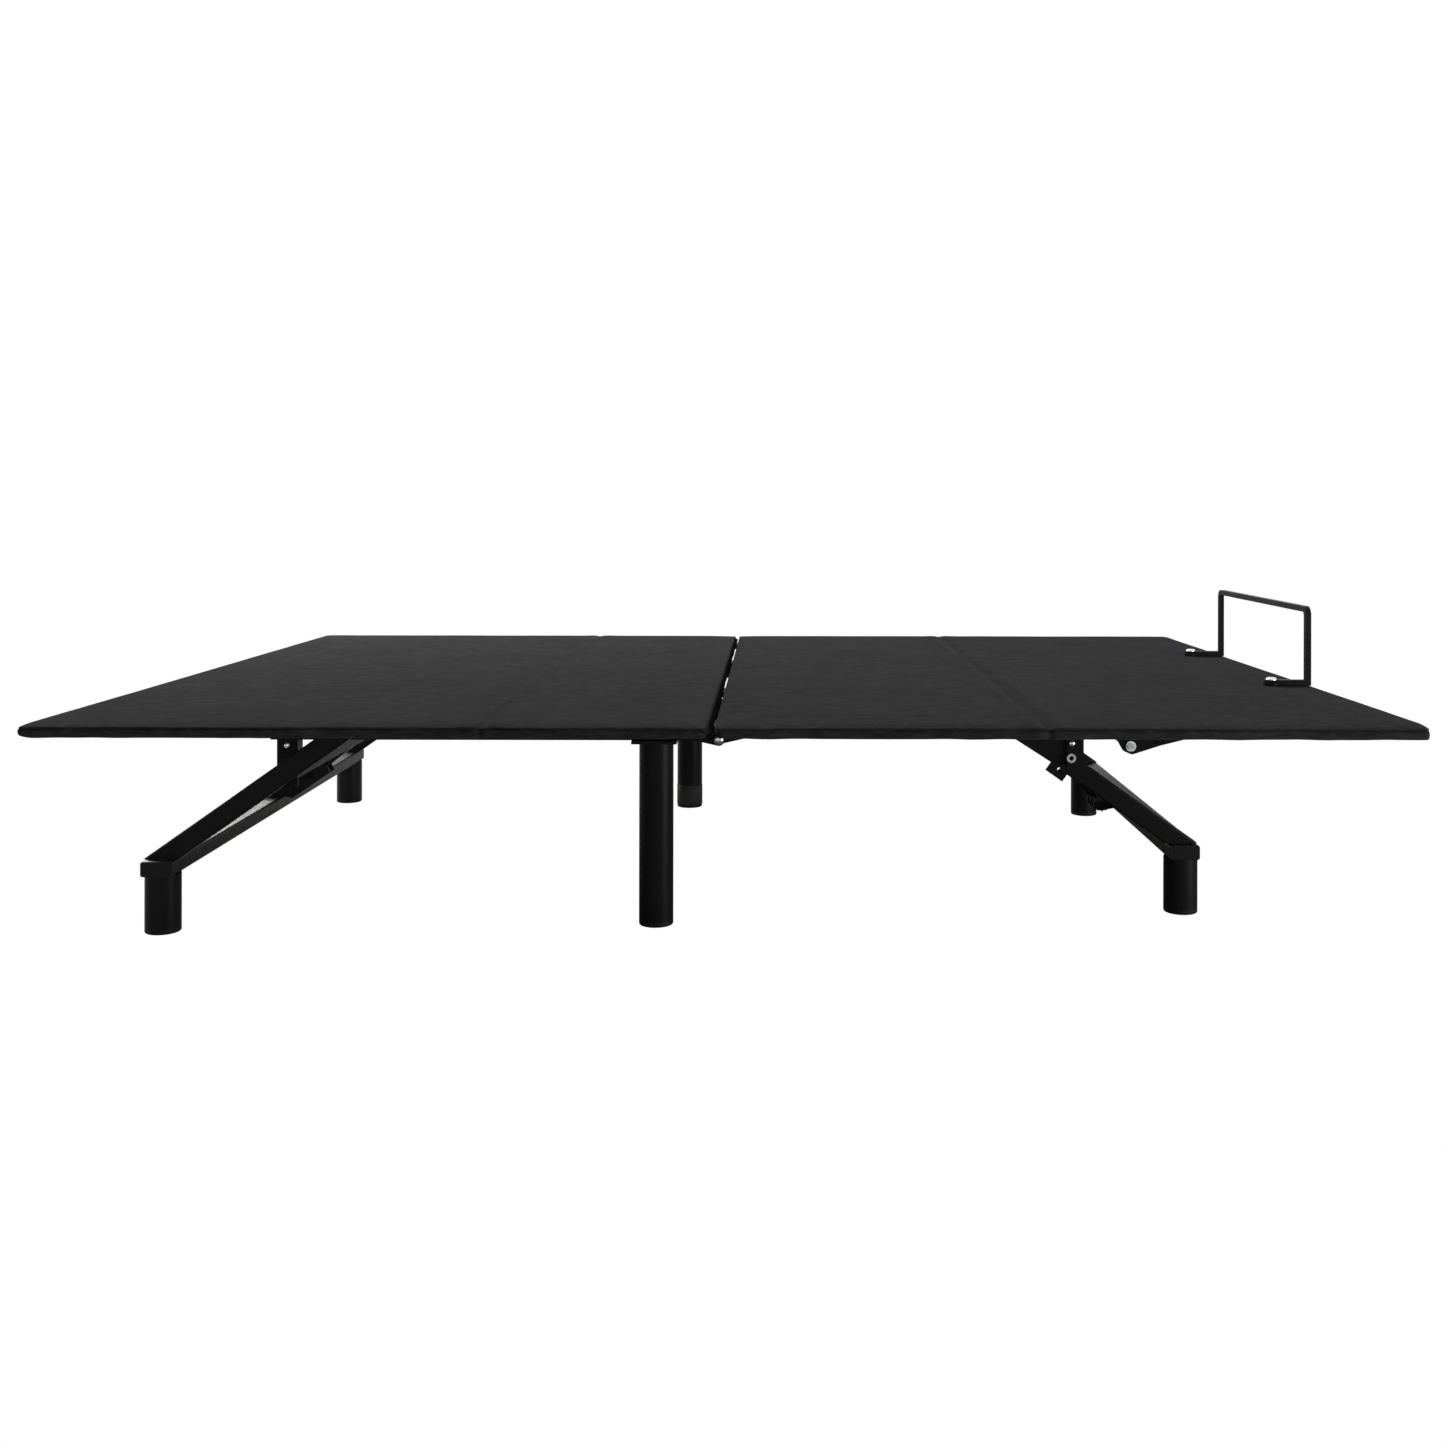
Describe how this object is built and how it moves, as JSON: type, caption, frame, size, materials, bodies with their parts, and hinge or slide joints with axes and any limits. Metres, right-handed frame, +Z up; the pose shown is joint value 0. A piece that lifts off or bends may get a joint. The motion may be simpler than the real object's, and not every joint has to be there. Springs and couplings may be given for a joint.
{
  "type": "adjustable bed base",
  "caption": "Flat upholstered bed base on a black steel frame with round legs; the head section and the knee section lift on electric actuators, and a bar at the foot holds the mattress.",
  "frame": {"origin": "on the floor, under the middle of the deck", "axes": "+X towards the foot end, +Y towards the left side of someone lying on their back, +Z up"},
  "size_m": [2.02, 1.51, 0.496],
  "materials": {
    "deck_fabric": "black woven upholstery",
    "panel_board": "bare plywood",
    "frame_steel": "satin black powder coat",
    "bright_steel": "bright plated",
    "zinc_steel": "zinc plated",
    "actuator_shell": "fine textured",
    "rod_aluminium": "drawn",
    "moulded_plastic": "moulded black",
    "rest_rubber": "moulded rubber"
  },
  "bodies": {
    "base": {"seat_board": "panel_board", "seat_pad": "deck_fabric", "head_hinge_seat_leaves": "zinc_steel", "head_hinge_pins": "zinc_steel", "fold_hinge_seat_leaves": "zinc_steel", "fold_hinge_pins": "zinc_steel", "head_rail_right": "frame_steel", "head_rail_left": "frame_steel", "foot_rail_right": "frame_steel", "foot_rail_left": "frame_steel", "fold_bolts": "bright_steel", "seat_cross_tube": "frame_steel", "centre_cross_tube": "frame_steel", "link_cross_tube": "frame_steel", "rest_pads": "rest_rubber", "head_leg_bar": "frame_steel", "foot_leg_bar": "frame_steel", "bar_end_caps": "moulded_plastic", "head_struts": "frame_steel", "foot_struts": "frame_steel", "head_frame_tube": "frame_steel", "foot_frame_tube": "frame_steel", "head_brace": "frame_steel", "foot_brace": "zinc_steel", "lock_knob": "moulded_plastic", "head_posts": "frame_steel", "foot_posts": "frame_steel", "frame_bolts": "bright_steel", "head_legs": "frame_steel", "centre_legs": "frame_steel", "foot_legs": "frame_steel", "leg_glides": "moulded_plastic", "drop_brackets": "frame_steel", "pivot_pins": "zinc_steel", "control_box": "actuator_shell"},
    "head_panel": {"head_board": "panel_board", "head_pad": "deck_fabric", "head_hinge_head_leaves": "zinc_steel", "head_rod_bracket": "frame_steel"},
    "head_actuator": {"head_actuator_housing": "actuator_shell", "head_motor": "actuator_shell"},
    "head_rod": {"head_rod": "rod_aluminium"},
    "thigh_panel": {"thigh_board": "panel_board", "thigh_pad": "deck_fabric", "fold_hinge_thigh_leaves": "zinc_steel", "knee_hinge_thigh_leaves": "zinc_steel", "knee_hinge_pins": "zinc_steel", "foot_rod_bracket": "frame_steel"},
    "foot_panel": {"foot_board": "panel_board", "foot_pad": "deck_fabric", "knee_hinge_foot_leaves": "zinc_steel", "foot_brackets": "frame_steel", "link_shaft": "bright_steel", "retainer_bar": "frame_steel", "retainer_bolts": "bright_steel"},
    "foot_links": {"foot_links": "frame_steel"},
    "foot_actuator": {"foot_actuator_housing": "actuator_shell", "foot_motor": "actuator_shell"},
    "foot_rod": {"foot_rod": "rod_aluminium"}
  },
  "joints": [
    {"name": "head_lift", "type": "hinge", "parent": "base", "child": "head_panel", "pos_m": [-0.347, 0, 0.351], "axis": [0, 1, 0], "range_deg": [0, 60]},
    {"name": "head_actuator_tilt", "type": "hinge", "parent": "base", "child": "head_actuator", "pos_m": [-0.3403, 0.06, 0.23119], "axis": [0, 1, 0], "range_deg": [0, 30]},
    {"name": "head_rod_swing", "type": "hinge", "parent": "head_panel", "child": "head_rod", "pos_m": [-0.46383, 0.06, 0.3236], "axis": [0, -1, 0], "range_deg": [0, 30]},
    {"name": "thigh_lift", "type": "hinge", "parent": "base", "child": "thigh_panel", "pos_m": [-0.0165, 0, 0.341], "axis": [0, -1, 0], "range_deg": [0, 35]},
    {"name": "knee_bend", "type": "hinge", "parent": "thigh_panel", "child": "foot_panel", "pos_m": [0.466, 0, 0.351], "axis": [0, 1, 0], "range_deg": [0, 35]},
    {"name": "foot_link_swing", "type": "hinge", "parent": "base", "child": "foot_links", "pos_m": [0.1725, 0, 0.269], "axis": [0, -1, 0], "range_deg": [0, 35]},
    {"name": "foot_actuator_tilt", "type": "hinge", "parent": "base", "child": "foot_actuator", "pos_m": [-0.02264, 0.06, 0.23117], "axis": [0, -1, 0], "range_deg": [0, 17.5]},
    {"name": "foot_rod_swing", "type": "hinge", "parent": "thigh_panel", "child": "foot_rod", "pos_m": [0.09059, 0.06, 0.31588], "axis": [0, 1, 0], "range_deg": [0, 17.5]}
  ],
  "couplings": [
    {"joint": "head_actuator_tilt", "follows": "head_lift", "ratio": 0.5},
    {"joint": "head_rod_swing", "follows": "head_lift", "ratio": 0.5},
    {"joint": "knee_bend", "follows": "thigh_lift", "ratio": 1},
    {"joint": "foot_link_swing", "follows": "thigh_lift", "ratio": 1},
    {"joint": "foot_actuator_tilt", "follows": "thigh_lift", "ratio": 0.5},
    {"joint": "foot_rod_swing", "follows": "thigh_lift", "ratio": 0.5}
  ]
}
